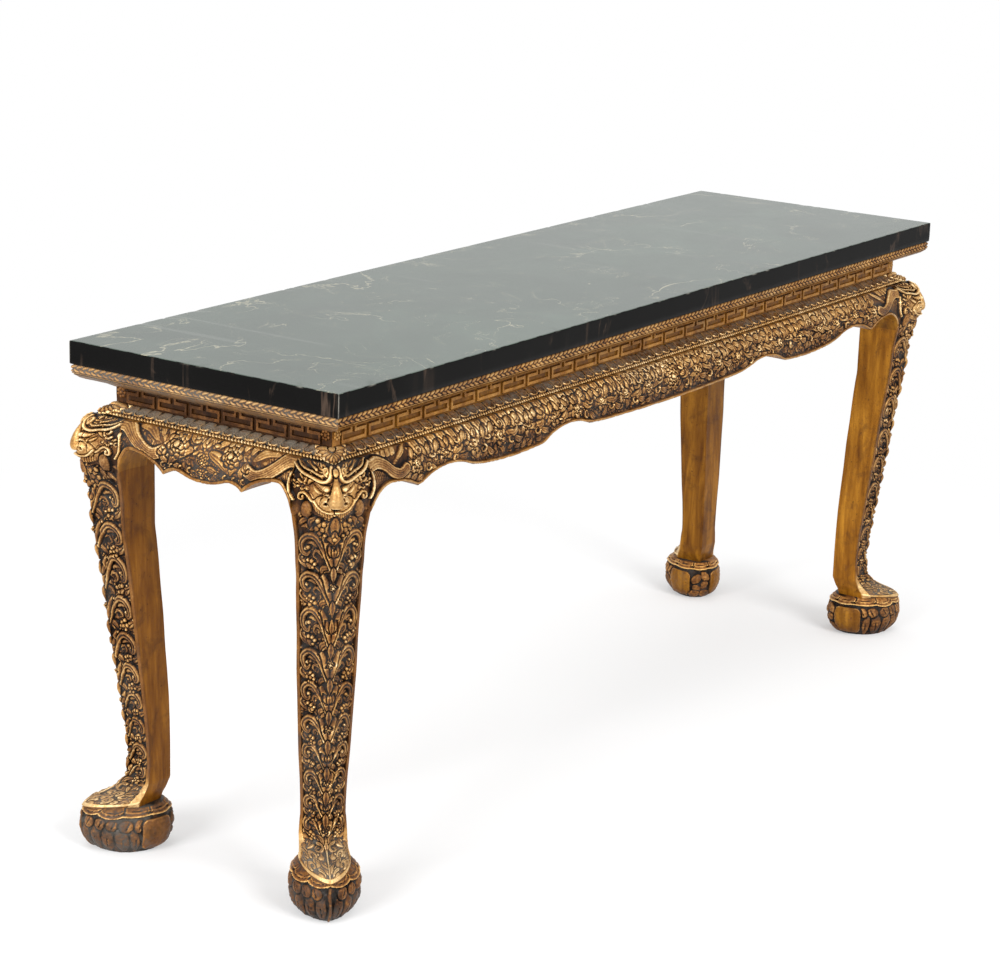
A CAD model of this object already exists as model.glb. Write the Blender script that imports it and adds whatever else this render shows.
import math

import bpy
import numpy as np
from mathutils import Matrix, Vector


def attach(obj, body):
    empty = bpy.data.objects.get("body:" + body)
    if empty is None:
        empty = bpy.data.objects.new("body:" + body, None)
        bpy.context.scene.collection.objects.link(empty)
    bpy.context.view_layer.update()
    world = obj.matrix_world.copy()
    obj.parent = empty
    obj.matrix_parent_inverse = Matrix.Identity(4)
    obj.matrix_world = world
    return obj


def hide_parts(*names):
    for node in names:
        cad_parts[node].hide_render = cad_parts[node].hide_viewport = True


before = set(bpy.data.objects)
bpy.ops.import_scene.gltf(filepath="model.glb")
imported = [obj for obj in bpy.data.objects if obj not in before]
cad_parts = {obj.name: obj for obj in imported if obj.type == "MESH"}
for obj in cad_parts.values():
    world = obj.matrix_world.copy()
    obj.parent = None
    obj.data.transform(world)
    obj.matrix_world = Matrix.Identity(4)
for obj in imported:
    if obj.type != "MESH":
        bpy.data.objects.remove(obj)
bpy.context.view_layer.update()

# ---------------------------------------------------------------- main sizes, in millimetres

LONG, SHORT = 970, 270  # half the slab's length and depth
APRON_TOP, SLOPE_TOP, SLAB_LOW = 741, 756, 822  # heights
LEG_IN, FOOT_IN = 95, 63  # how far in from the slab's edge the legs reach and the feet's centres stand
FRIEZE_IN, BACK_IN = 54, 76  # the same for the frieze's face and the frame's back
TURN = {"front": 0, "right": 1, "back": 2, "left": 3}  # quarter turns from the front
CORNERS = {"front_left": 0, "front_right": 1, "back_right": 2, "back_left": 3}
HALF = {side: (LONG, SHORT)[turns % 2] for side, turns in TURN.items()}
GROUND = 4.6  # how much of the carving's height lies below the solid's face
BORDER = 6.4  # width of the plain border beside the legs' carving
SHARP = 66  # degrees between faces from which an edge is shaded sharp


# ---------------------------------------------------------------- carving as height maps


def through(table, x):
    """Monotone cubic curve through (position, value) pairs."""
    xs, ys = np.array(sorted(table), float).T
    step = np.diff(xs)
    slope = np.diff(ys) / step
    tangent = np.zeros_like(ys)
    tangent[0], tangent[-1] = slope[0], slope[-1]
    same = slope[:-1] * slope[1:] > 0
    tangent[1:-1][same] = 2 / (1 / slope[:-1][same] + 1 / slope[1:][same])
    x = np.clip(x, xs[0], xs[-1])
    i = np.clip(np.searchsorted(xs, x) - 1, 0, len(step) - 1)
    t = (x - xs[i]) / step[i]
    rise = step[i] * t * (1 - t)
    value = ys[i] + (ys[i + 1] - ys[i]) * t * t * (3 - 2 * t)
    return value + rise * (tangent[i] * (1 - t) - tangent[i + 1] * t)


def flowing(points, per_span=6):
    """Catmull-Rom curve through a few points."""
    p = np.array(points, float)
    if len(p) == 2:
        return p[0] + (p[1] - p[0]) * np.linspace(0, 1, per_span + 1)[:, None]
    p = np.vstack([2 * p[0] - p[1], p, 2 * p[-1] - p[-2]])
    t = np.linspace(0, 1, per_span, endpoint=False)[:, None]
    spans = []
    for a, b, c, d in zip(p, p[1:], p[2:], p[3:]):
        bend, twist = 2 * a - 5 * b + 4 * c - d, 3 * b - a - 3 * c + d
        spans.append(b + t * (c - a) / 2 + t * t * bend / 2 + t**3 * twist / 2)
    return np.vstack([*spans, p[-2:-1]])


def curl(x, y, radius, start, turns, inner=0.25):
    """Points of a spiral that winds in from its outside."""
    count = max(6, int(abs(turns) * 12))
    angle = np.radians(start) + np.linspace(0, turns * math.tau, count)
    reach = radius * np.linspace(1, inner, count)
    return np.stack([x + reach * np.cos(angle), y + reach * np.sin(angle)], 1)


WIDTHS = {  # a stroke's width along its length, from 0 to 1
    "even": lambda s: np.ones_like(s),
    "leaf": lambda s: 0.12 + 0.88 * np.sin(np.pi * s**0.8) ** 0.8,
    "tail": lambda s: 1 - 0.75 * s,
    "drop": lambda s: 0.25 + 0.75 * np.sin(np.pi * np.clip(0.15 + s * 0.8, 0, 1)) ** 0.9,
    "stem": lambda s: 0.7 + 0.3 * np.sin(np.pi * s) - 0.42 * s**2,
    "snout": lambda s: 0.36 + 0.64 * s**1.4,
    "blade": lambda s: 1 - 0.92 * s**1.6,
}


class Relief:
    """Heights in millimetres over a plane of (across, up) positions in millimetres."""

    def __init__(self, low, high, pixel=0.7):
        self.low = np.array(low, float)
        self.pixel = pixel
        count = np.ceil((np.array(high, float) - self.low) / pixel).astype(int) + 1
        self.height = np.zeros(count[::-1])

    def window(self, low, high):
        a = np.clip(np.floor((low - self.low) / self.pixel).astype(int), 0, None)
        b = np.clip(np.ceil((high - self.low) / self.pixel).astype(int) + 1, 0, None)
        place = (slice(a[1], b[1]), slice(a[0], b[0]))
        rows, columns = self.height[place].shape
        x = self.low[0] + (a[0] + np.arange(columns)) * self.pixel
        y = self.low[1] + (a[1] + np.arange(rows)) * self.pixel
        return place, x[None, :], y[:, None]

    def lay(self, place, ratio, heights, trench, merge=False):
        """Lay a raised form over what is there, with a cut round its outline, or merge it in."""
        old = self.height[place]
        beside = (ratio >= 1) & (ratio < 1 + trench)
        if merge:
            heights = np.maximum(heights, old)
        self.height[place] = np.where(ratio < 1, heights, np.where(beside, old * 0.3, old))

    def stroke(self, points, width, height, kind="even", grooves=0, depth=0.28, base=0.5, trench=0.35, merge=False):
        """A rounded ridge along a curve; grooves run along it."""
        path = flowing(points)
        place, x, y = self.window(path.min(0) - width * 1.5, path.max(0) + width * 1.5)
        if not self.height[place].size:
            return
        start, run = path[:-1], np.diff(path, axis=0)
        along = (run**2).sum(1) + 1e-9
        px, py = x[..., None] - start[:, 0], y[..., None] - start[:, 1]
        t = np.clip((px * run[:, 0] + py * run[:, 1]) / along, 0, 1)
        ox, oy = px - t * run[:, 0], py - t * run[:, 1]
        share = (np.arange(len(run)) + t) / len(run)
        half = width / 2 * WIDTHS[kind](share)
        ratio = np.sqrt(ox * ox + oy * oy) / half
        near = ratio.argmin(-1)[..., None]
        side = np.sign(ox * run[:, 1] - oy * run[:, 0])
        side, half, ratio = (np.take_along_axis(v, near, -1)[..., 0] for v in (side, half, ratio))
        dome = np.sqrt(np.clip(1 - ratio * ratio, 0, 1))
        if grooves:
            dome = dome * (1 - depth * (0.5 + 0.5 * np.cos(math.tau * grooves * (side * ratio + 1) / 2)))
        slim = np.clip(half / (width / 2), 0.45, 1)
        self.lay(place, ratio, height * (base + (1 - base) * dome) * slim, trench * width / 2 / half, merge)

    def dome(self, x, y, rx, ry, height, turn=0, base=0.35, power=0.5, trench=0.2, add=False, merge=False):
        """A rounded boss; with add it swells what is there."""
        reach = max(rx, ry) * 1.4
        place, px, py = self.window(np.array([x - reach, y - reach]), np.array([x + reach, y + reach]))
        if not self.height[place].size:
            return
        c, s = math.cos(math.radians(turn)), math.sin(math.radians(turn))
        px, py = px - x, py - y
        ratio = np.sqrt(((px * c + py * s) / rx) ** 2 + ((py * c - px * s) / ry) ** 2)
        swell = np.clip(1 - ratio**2, 0, 1) ** power
        if add:
            self.height[place] += height * swell
        else:
            self.lay(place, ratio, height * (base + (1 - base) * swell), trench, merge)

    def weather(self, cells, seed):
        """Slow unevenness on the raised forms."""
        self.height += slow_noise(self.height.shape, cells, seed, 0.45) * np.clip(self.height - 1, 0, 1)

    def read(self, x, y):
        """Heights at any positions, between the map's points."""
        fx = np.clip((x - self.low[0]) / self.pixel, 0, self.height.shape[1] - 1.001)
        fy = np.clip((y - self.low[1]) / self.pixel, 0, self.height.shape[0] - 1.001)
        ix, iy = fx.astype(int), fy.astype(int)
        fx, fy = fx - ix, fy - iy
        h = self.height
        low = h[iy, ix] * (1 - fx) + h[iy, ix + 1] * fx
        high = h[iy + 1, ix] * (1 - fx) + h[iy + 1, ix + 1] * fx
        return low * (1 - fy) + high * fy


class Pen:
    """Draws on a relief in a frame of its own: moved, turned, scaled and mirrored."""

    def __init__(self, relief, x, y, scale=1.0, turn=0.0, flip=1):
        self.relief, self.scale, self.flip = relief, scale, flip
        self.origin = np.array([x, y], float)
        c, s = math.cos(math.radians(turn)), math.sin(math.radians(turn))
        self.matrix = np.array([[c, -s], [s, c]])

    def at(self, points):
        local = np.array(points, float).reshape(-1, 2) * [self.flip, 1] * self.scale
        return self.origin + local @ self.matrix.T

    def stroke(self, points, width, height, *rest, **more):
        self.relief.stroke(self.at(points), width * self.scale, height, *rest, **more)

    def dome(self, x, y, rx, ry, height, turn=0, **more):
        (cx, cy), = self.at([x, y])
        self.relief.dome(cx, cy, rx * self.scale, ry * self.scale, height, turn * self.flip, **more)

    def berry(self, x, y, radius, height):
        self.dome(x, y, radius, radius, height)

    def pen(self, x, y, scale=1.0, turn=0.0, flip=1):
        (cx, cy), = self.at([x, y])
        angle = math.degrees(math.atan2(self.matrix[1, 0], self.matrix[0, 0]))
        return Pen(self.relief, cx, cy, self.scale * scale, angle + turn * self.flip, self.flip * flip)


def both(relief, x=0):
    """A mirrored pair of pens, each at its distance from the middle."""
    return [Pen(relief, side * x, 0, 1, 0, side if x == 0 else -side) for side in (-1, 1)]


def tendril(pen, x, y, radius, turn, turns, width, height, *rest):
    pen.stroke(curl(x, y, radius, turn, turns), width, height, "tail", *rest)


def leaf(pen, points, width, height, veins=1):
    """A pointed leaf with a cut midrib."""
    pen.stroke(points, width, height, "leaf", veins, 0.4)


def flower(pen, x, y, radius, height, petals=7, rows=2):
    """An open flower: rows of cupped petals round a button."""
    for row in range(rows):
        reach = radius * (1 - 0.36 * row)
        for k in range(petals):
            angle = math.tau * (k + row / 2) / petals
            tip = np.array([math.cos(angle), math.sin(angle)]) * reach
            width, rise = radius * 0.62 * (1 - 0.2 * row), height * (0.75 + 0.2 * row)
            pen.stroke([[x, y] + tip * 0.3, [x, y] + tip], width, rise, "drop", 1, 0.45)
    pen.berry(x, y, radius * 0.26, height * 1.15)


def tuft(pen, x, y, length, turn, height, count=3):
    """A few leaf tips that fan out from one point."""
    for k in range(count):
        angle = math.radians(turn + (k - (count - 1) / 2) * 34)
        tip = np.array([math.cos(angle), math.sin(angle)]) * length * (1 - 0.12 * abs(k - (count - 1) / 2))
        bend = np.array([-tip[1], tip[0]]) * 0.16 * (1 if k * 2 >= count - 1 else -1)
        leaf(pen, [[x, y], [x, y] + tip * 0.55 + bend, [x, y] + tip], length * 0.42, height)


def fill(relief, low, high, count, seed, size=(7, 12), height=(1.6, 2.8)):
    """Low curled leaves that cover the ground between the main forms."""
    random = np.random.default_rng(seed)
    for _ in range(count):
        x, y = random.uniform(low, high)
        pen = Pen(relief, x, y, random.uniform(*size), random.uniform(0, 360), random.choice((-1, 1)))
        top = random.uniform(*height)
        if random.random() < 0.35:
            tendril(pen, 0, 0, 0.42, 0, 0.9, 0.34, top, 1, 0.3)
        else:
            leaf(pen, [[-0.5, -0.1], [0, 0.16], [0.5, -0.05]], 0.5, top)


# ---------------------------------------------------------------- the legs' carving

OUTER = [  # how far in the leg's outer faces stand from the table's edge, by height, in millimetres
    (740, 24), (730, 15), (720, 10), (710, 7.3), (700, 6), (680, 6), (670, 7), (660, 8.8), (650, 10.8), (640, 13),
    (620, 17), (600, 19), (580, 20), (560, 22), (530, 25), (500, 28.5), (460, 33), (430, 35.6), (400, 38), (350, 43),
    (300, 48.4), (250, 53.4), (200, 58.6), (160, 60.7), (150, 60.8), (140, 59.4), (130, 58.3), (120, 56), (110, 50),
    (100, 39), (90, 24), (80, 13), (72, 8.5),
]
INNER = [
    (740, 95), (560, 95), (530, 97), (500, 99), (450, 101.6), (400, 104.6), (350, 106.5), (300, 109), (250, 110.9),
    (160, 112), (120, 112), (110, 109.7), (100, 106.8), (90, 103), (80, 100.8),
]
UNITS = (576, 519, 447, 388, 332, 281, 234, 191, 152, 115)  # heights at which the scrolls part from the ridge


def face_width(z):
    return through(INNER, z) - through(OUTER, z)


def run_down(z):
    """Height on the relief for a height on the leg: below 130 it follows the tongue's slope."""
    steps = np.arange(130, 69, -1.0)
    slide = np.hypot(1, np.diff(through(OUTER, steps)) * math.sqrt(2))
    return np.where(z > 130, z, np.interp(-z, -steps, np.append(130, 130 - np.cumsum(slide))))


FLAMES = (
    [(12, 724), (20, 730), (31, 729), (42, 733), (54, 740)], [(26, 724), (38, 728), (49, 729), (60, 736), (68, 742)],
    [(6, 738), (14, 735), (23, 739), (34, 737), (46, 743)], [(20, 733), (29, 734), (38, 740)],
    [(46, 727), (56, 730), (66, 738)], [(36, 732), (45, 736), (52, 743)], [(10, 731), (16, 734), (22, 731)],
)
HAIR = (  # across, up, turn, radius
    (56, 702, 15, 4.6), (66, 704, 200, 4.4), (76, 706, 30, 4), (84, 702, 90, 4.2),
    (62, 696, 330, 3.6), (72, 698, 120, 3.8), (86, 716, 60, 4.4), (90, 709, 10, 3.8),
)
FRUIT = ((23, 650, 5), (31, 647, 5), (25, 641, 5), (35, 654, 4.4), (36, 641, 4.6), (30, 634, 4.2), (20, 632, 3.6))
UPPER_LID = [(19, 727.5), (26, 725), (35, 726.5), (45, 729), (55, 730.5), (64, 734), (69, 741)]
LOWER_LID = [
    (6, 738), (7, 729), (11, 722), (18, 718.4), (28, 717.6), (38, 719.6), (48, 722), (59, 724), (68, 728),
    (75, 735), (75, 743),
]
CHEEK = [(40, 684), (48, 687), (55, 693), (63, 696), (71, 693), (72, 686), (65, 685), (65, 690)]


def draw_mask(pen):
    """Half of the animal mask, with the leg's ridge at zero."""
    for x, y, rx, ry, rise in ((0, 702, 64, 44, 2.6), (30, 685, 34, 18, 1.8), (66, 703, 20, 24, 0.8)):
        pen.dome(x, y, rx, ry, rise, add=True)
    for points in FLAMES:
        pen.stroke(points, 5, 8, "tail", 1, 0.5)
    tendril(pen, 30, 738, 4.6, 200, -0.9, 3.4, 8, 1, 0.4)
    # hair and the ear between the eye and the arc
    for x, y, turn, r in HAIR:
        tendril(pen, x, y, r, turn, 0.9, 2.9, 4.8, 1, 0.4)
    leaf(pen, [(50, 712), (60, 716), (70, 711)], 8, 6, 2)
    pen.stroke([(44, 690), (50, 696), (58, 694), (66, 697)], 3.2, 5, "tail", 1, 0.4)
    pen.stroke([(73, 714), (67, 711), (59, 714), (56, 721), (62, 726), (68, 722), (65, 718)], 4.2, 7, "even", 1, 0.4)
    # cheek scroll, cheek ball and the arc that frames the face
    pen.stroke([(72, 742), (81, 731), (89, 716), (93, 703), (91, 691), (84, 681)], 3.8, 7.4, "even", 1, 0.35)
    for x, y in ((57, 703), (66, 699), (75, 704), (62, 711), (82, 711), (53, 693)):
        pen.dome(x, y, 3.4, 2.3, 5.6, x * 7, base=0.3)
    pen.stroke(CHEEK, 4.4, 7.4, "even", 1, 0.35)
    pen.dome(58, 669, 11, 15, 9.6, base=0.1, power=0.6)
    # muzzle, nostril and lip
    pen.dome(18, 684, 22, 13, 9.6, 6, base=0.5, power=0.6, trench=0.12)
    pen.stroke([(0, 675.4), (10, 674.2), (20, 675), (30, 679), (39, 687)], 4.2, 10.6, "even", 0, base=0.5, trench=0.25)
    # eye and brow
    pen.stroke([(11, 703.5), (18, 702.6), (26, 704), (36, 707)], 3, 8, "tail", 0)
    pen.stroke([(26, 700), (33, 702), (40, 706), (47, 712)], 5, 8, "leaf", 1, 0.4)
    pen.stroke([(12.5, 709), (20, 708.8), (28, 710.6), (38, 714.5)], 9.5, 12, "blade", 0, base=0.3, trench=0.3)
    pen.dome(13.4, 708.8, 3.4, 3.4, 14, base=0.75, trench=0.5)
    pen.stroke([(41, 719), (49, 716), (56, 709)], 6, 8, "leaf", 1, 0.4)
    pen.stroke(UPPER_LID, 3.8, 8.6, "even", 1, 0.3, trench=0.3)
    pen.stroke(LOWER_LID, 4.8, 11, "even", 0, base=0.4, trench=0.35)
    pen.stroke(curl(15, 731.5, 5, 270, 1.5), 3.8, 11, "even", 1, 0.35)
    # mouth, teeth, beard and fruit
    pen.dome(22, 666, 27, 5.5, 1.2, base=1, trench=0)
    for k in range(8):
        top = (2.8 + k * 5.3, 670 + k * k * 0.1)
        pen.stroke([top, (2.8 + k * 5.1, 663.5 + k * k * 0.15)], 4.8, 5.6 - k * 0.2, "even", 0, base=0.5, trench=0.1)
    leaf(pen, [(42, 657), (50, 651), (51, 638)], 9, 5.4, 2)
    leaf(pen, [(56, 654), (66, 648), (72, 640)], 9, 5.2, 2)
    leaf(pen, [(13, 654), (20, 643), (13, 631)], 10, 6.2, 2)
    for x, y, r in FRUIT:
        pen.berry(x, y, r, 7)


def draw_nose(lion):
    """The nose, its wings and nostrils, and the tuft below the mouth, all over the ridge."""
    sides = both(lion.relief)
    for pen in sides:
        pen.dome(16, 689.5, 11, 8.5, 12.8, base=0.5, power=0.5, trench=0, merge=True)
        pen.stroke([(9, 699), (15, 701), (22, 698), (27, 691), (27, 684)], 3, 13.2, "tail", 0, base=0.7, trench=0.25)
    lion.stroke([(0, 729), (0, 714), (0, 694)], 23, 15.4, "snout", 0, base=0.3, trench=0.1, merge=True)
    lion.dome(0, 689.5, 10, 9, 15.6, base=0.6, power=0.5, trench=0, merge=True)
    for pen in sides:
        pen.dome(16, 687.4, 3.6, 2.6, 3, -14, base=0.1, trench=0)
    lion.stroke([(-6, 680.5), (0, 679.6), (6, 680.5)], 2.4, 6, "leaf", 0, trench=0.6)
    lion.dome(0, 732, 4.6, 6, 10.5)
    leaf(lion, [(0, 662), (0, 647), (0, 630)], 22, 7, 2)
    leaf(lion, [(0, 640), (0, 628), (0, 612)], 15, 7.6, 2)
    for pen in sides:
        leaf(pen, [(0, 618), (9, 627), (19, 624)], 9, 6.4)
    lion.berry(0, 629, 4, 8.6)


STEM = (
    (0.0, -0.14), (0.15, 0.2), (0.34, 0.54), (0.56, 0.77), (0.79, 0.78), (0.95, 0.6), (0.94, 0.38), (0.82, 0.28),
    (0.74, 0.38),
)
BARBS = (  # share of the stem, length, turn
    (0.14, 9, 112), (0.23, 11, 100), (0.31, 11, 92), (0.4, 11, 80), (0.49, 10, 64), (0.58, 9, 44), (0.7, 8, 200),
)
BERRIES = (
    ((0.56, 0.1), (0.66, 0.14), (0.76, 0.16), (0.62, 0.0), (0.76, 0.48)),
    ((0.6, 0.12), (0.7, 0.17), (0.66, 0.03), (0.78, 0.06), (0.55, 0.0), (0.72, -0.08)),
)


def draw_unit(pen, rise, width, number, random):
    """Half of one acanthus unit, in shares of its width and rise: the stem curls from the ridge toward the border."""
    w, p = width - 3, rise

    def at(*pairs, loose=0.9):
        return [(w * x + random.uniform(-loose, loose), p * y + random.uniform(-loose, loose)) for x, y in pairs]

    leaf(pen, at((0.97, 0.36), (0.95, 0.1), (0.76, -0.08)), 9.5, 5.6, 2)
    leaf(pen, at((0.62, 0.88), (0.8, 1.04), (0.99, 0.98)), 9, 5.4)
    leaf(pen, at((0.44, 0.76), (0.32, 0.98), (0.12, 0.98)), 9.5, 6, 2)
    leaf(pen, at((0.16, 0.1), (0.34, 0.02), (0.4, -0.16)), 9, 5.4, 2)
    pen.stroke(at((0.86, 0.1), (0.98, 0.18), (0.92, 0.3)), 5, 5, "tail", 1, 0.4)
    pen.stroke(at((0.22, 0.26), (0.42, 0.42), (0.57, 0.42), (0.62, 0.3), (0.54, 0.22)), 7.6, 6.4, "tail", 2, 0.45)
    stem = at(*STEM)
    for share, reach, turn in BARBS:
        i = share * (len(stem) - 1)
        x, y = (a + (b - a) * (i % 1) for a, b in zip(stem[int(i)], stem[int(i) + 1]))
        t = math.radians(turn + random.uniform(-14, 14))
        dx, dy = math.cos(t) * reach, math.sin(t) * reach
        leaf(pen, [(x, y), (x + dx * 0.6 - 2, y + dy * 0.6), (x + dx, y + dy)], 6.4, 7.4)
    pen.stroke(stem, 13.4, 9.2, "stem", 2, 0.55, 0.4)
    leaf(pen, at((0.5, 0.52), (0.66, 0.62), (0.82, 0.56)), 6.5, 6, 1)
    for berry in BERRIES[number % 2]:
        (x, y), = at(berry, loose=1)
        pen.berry(x, y, 3 + random.uniform(-0.4, 0.8), 6.4)


TONGUE = (  # across, up, turn of each scroll on the slope over the foot
    (14, 100, 60), (36, 103, 200), (54, 92, 120), (24, 84, 330), (44, 78, 60), (11, 68, 180), (31, 62, 300),
    (17, 50, 90), (9, 38, 200),
)


def leg_relief():
    relief = Relief((-104, 26), (104, 742))
    lion = Pen(relief, 0, 0)
    for side in (-1, 1):
        for k in range(30, 640, 40):
            left, right = sorted((side * 4, side * face_width(max(k, 90))))
            fill(relief, (left, k), (right, k + 40), 34, k * 2 + side + 9, (7, 12), (1.4, 4.4))
    for number, z in reversed(list(enumerate(UNITS))):
        rise = (UNITS[number - 1] if number else 641) - z
        width = face_width(max(z + rise * 0.5, 130))
        for side in (-1, 1):
            random = np.random.default_rng(number * 2 + (side > 0))
            pen = Pen(relief, random.uniform(-0.6, 0.6), z + random.uniform(-3, 3), 1, 0, side)
            draw_unit(pen, rise, width - BORDER, number, random)
        w = width - 9.4
        for pen in both(relief):
            leaf(pen, [(0, z - 2), (5, z + 10), (12, z + 22)], 7, 8.6, 2)
            blade = [(3, z + 2), (w * 0.16, z + rise * 0.4), (w * 0.3, z + rise * 0.74), (w * 0.6, z + rise)]
            pen.stroke(blade, 10.5, 8.4, "leaf", 1, 0.45, 0.3, 0.2)
            shoot = [(w * 0.4, z + rise * 0.72), (w * 0.42, z + rise * 0.94), (w * 0.36, z + rise * 1.12)]
            pen.stroke(shoot, 5, 8, "leaf", 1, 0.5)
        leaf(lion, [(0, z + 6), (0, z - 6), (0, z - 22)], 12, 8.4, 2)
        if number % 2:
            flower(lion, 0, z + rise * 0.52, 9, 7.4, 5, 2)
        else:
            for pen in both(relief):
                leaf(pen, [(0, z + rise * 0.34), (9, z + rise * 0.46), (12, z + rise * 0.64)], 8.5, 6.6)
            leaf(lion, [(0, z + rise * 0.32), (0, z + rise * 0.5), (0, z + rise * 0.72)], 10, 7.6, 2)
    for pen in both(relief):
        for x, y, turn in TONGUE:
            leaf(pen.pen(x, y, 1, turn), [(2, 8), (12, 13), (22, 4)], 9, 6.6, 2)
            leaf(pen.pen(x, y, 1, turn + 160), [(2, 7), (9, 11), (16, 5)], 8, 6.2, 1)
            tendril(pen, x, y, 8.6, turn, 1, 7.4, 7.8, 2, 0.5)
        draw_mask(pen)
    draw_nose(lion)
    lion.stroke([(0, 100), (0, 60), (0, 26)], 3, 6, "even", 0)
    relief.weather((300, 80), 31)
    return relief


# ---------------------------------------------------------------- the aprons' carving


def arc(a, via, b, count):
    """Points of a circular arc through three points, without the last."""
    (ax, ay), (vx, vy), (bx, by) = a, via, b
    d = 2 * (ax * (vy - by) + vx * (by - ay) + bx * (ay - vy))
    if abs(d) < 1e-6:
        return [(ax + (bx - ax) * k / count, ay + (by - ay) * k / count) for k in range(count)]
    sa, sv, sb = ax * ax + ay * ay, vx * vx + vy * vy, bx * bx + by * by
    cx = (sa * (vy - by) + sv * (by - ay) + sb * (ay - vy)) / d
    cy = (sa * (bx - vx) + sv * (ax - bx) + sb * (vx - ax)) / d
    start, middle, end = (math.atan2(y - cy, x - cx) for x, y in (a, via, b))
    turn = (end - start) % math.tau
    if (middle - start) % math.tau > turn:
        turn -= math.tau
    r = math.hypot(ax - cx, ay - cy)
    angles = [start + turn * k / count for k in range(count)]
    return [(cx + r * math.cos(angle), cy + r * math.sin(angle)) for angle in angles]


def apron_edge(side):
    """Half of an apron's lower edge, from the leg to the middle, as (along, height) points."""
    half = HALF[side] - LEG_IN
    if HALF[side] == LONG:
        near_leg = (0, 651), (13.5, 676.4), (45, 692), (83.5, 688.2), (122, 673), (196, 692), (270, 677)
        middle = [(505, 669), (405, 673), (333.5, 692), (262, 679), (0, 673), (-262, 679)]
    else:
        near_leg = (0, 651), (6.6, 681.8), (22, 701), (59, 695.4), (96, 673)
        middle = [(62.5, 682), (46, 682), (0, 673), (-46, 682)]
    path = [(half - away, z) for away, z in near_leg] + middle
    points = []
    for a, via, b in zip(path[::2], path[1::2], path[2::2]):
        points += arc(a, via, b, 40)
    points = np.array(points)
    return points[points[:, 0] >= 0][::-1]


def edge_height(side, along):
    points = apron_edge(side)
    return np.interp(np.abs(along), points[:, 0], points[:, 1])


def draw_lip(relief, side, width=5.5, height=5.4):
    points = apron_edge(side)
    for flip in (-1, 1):
        path = points[::6] * [flip, 1]
        run = np.gradient(path, axis=0)
        inward = np.stack([-run[:, 1], run[:, 0]], 1) / np.linalg.norm(run, axis=1)[:, None] * flip
        relief.stroke(path + inward * width * 0.42, width, height, "even", 0, base=0.6)


def ribbon(pen, points, width, height, folds=3):
    """A flat striated ribbon."""
    pen.stroke(points, width, height, "even", folds, 0.5, 0.7)


def hatch(pen, low, high, pitch=2.6):
    """Fine parallel cuts over a patch of ground."""
    for k in range(int((high[0] - low[0]) / pitch)):
        x = low[0] + k * pitch
        pen.stroke([(x, high[1]), (x + 5, low[1])], 1.9, 2.1, "leaf", 0, trench=0)


def plume(pen, x, y, length, turn, width, height, bend=0.16):
    """A large striated leaf with a few barbs along one edge."""
    a = math.radians(turn)
    tip = np.array([math.cos(a), math.sin(a)]) * length
    side = np.array([-tip[1], tip[0]]) * bend
    here = pen.pen(x, y)
    for k in range(4):
        root = tip * (0.22 + 0.17 * k) + side * 0.8
        barb = [root, root + tip * 0.1 + side * 0.9, root + tip * 0.24 + side * 1.2]
        here.stroke(barb, width * 0.36, height * 0.85, "leaf")
    here.stroke([(0, 0), tip * 0.5 + side, tip], width, height, "leaf", 3, 0.5)


END_PLUMES = (  # across, up, turn, length, width
    (0, 700, 60, 22, 11), (0, 700, 120, 22, 11), (-2, 697, 200, 26, 11), (6, 697, 340, 26, 11), (-46, 692, 150, 20, 9),
    (52, 694, 40, 20, 9), (-74, 694, 120, 22, 10), (74, 694, 60, 22, 10), (30, 690, 200, 20, 9), (-26, 688, 330, 20, 9),
)
END_TUFTS = (
    (0, 728, 90), (-14, 736, 150), (14, 736, 30), (-2, 718, 250), (24, 716, 120), (-24, 716, 60),
    (84, 704, 80), (-84, 704, 100),
)


def end_apron_relief():
    relief = Relief((-176, 644), (176, 743))
    fill(relief, (-170, 676), (170, 742), 420, 5, (9, 15), (1.2, 3))
    plain = Pen(relief, 0, 0)
    for pen, knee in zip(both(relief), both(relief, 264)):
        for k, x in enumerate((8, 24, 74, 90, 106)):
            plume(pen, x, 735 - k % 2 * 3, 17, 20 + k * 7, 9, 4.4)
        hatch(pen, (137, 706), (164, 731))
        leaf(pen, [(96, 724), (120, 738), (150, 738)], 12, 3.6, 3)
        for k in range(6):
            pen.stroke([(104, 709), (92 - k * 0.8, 703 + k * 2.6), (81 - k, 697 + k * 6.2)], 6, 5.6, "leaf", 1, 0.45)
        ribbon(pen, [(176, 738), (160, 731), (138, 717), (118, 706), (102, 703), (86, 709)], 19, 6.4, 6)
        draw_mask(knee)
    for x, y, turn, length, width in END_PLUMES:
        plume(plain, x, y, length, turn, width, 5.2)
    for x, y, turn in END_TUFTS:
        tuft(plain, x, y, 14, turn, 5.2, 3)
    plume(plain, -24, 722, 56, 213, 18, 7, -0.12)
    plume(plain, 10, 722, 48, -32, 17, 7, 0.12)
    for k in range(-9, 10):
        tendril(plain, k * 9, 685 + abs(k) % 2 * 3, 5.2, 90 if k % 2 else 200, 0.9, 3.6, 4.8)
    flower(plain, 0, 706, 10, 6.4, 6, 2)
    flower(plain, -2, 689, 7, 5.6, 6, 1)
    flower(plain, 54, 725, 18, 8.4, 9, 3)
    flower(plain, -56, 726, 20, 8.4, 9, 3)
    draw_lip(relief, "left")
    relief.weather((40, 140), 32)
    return relief


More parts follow.
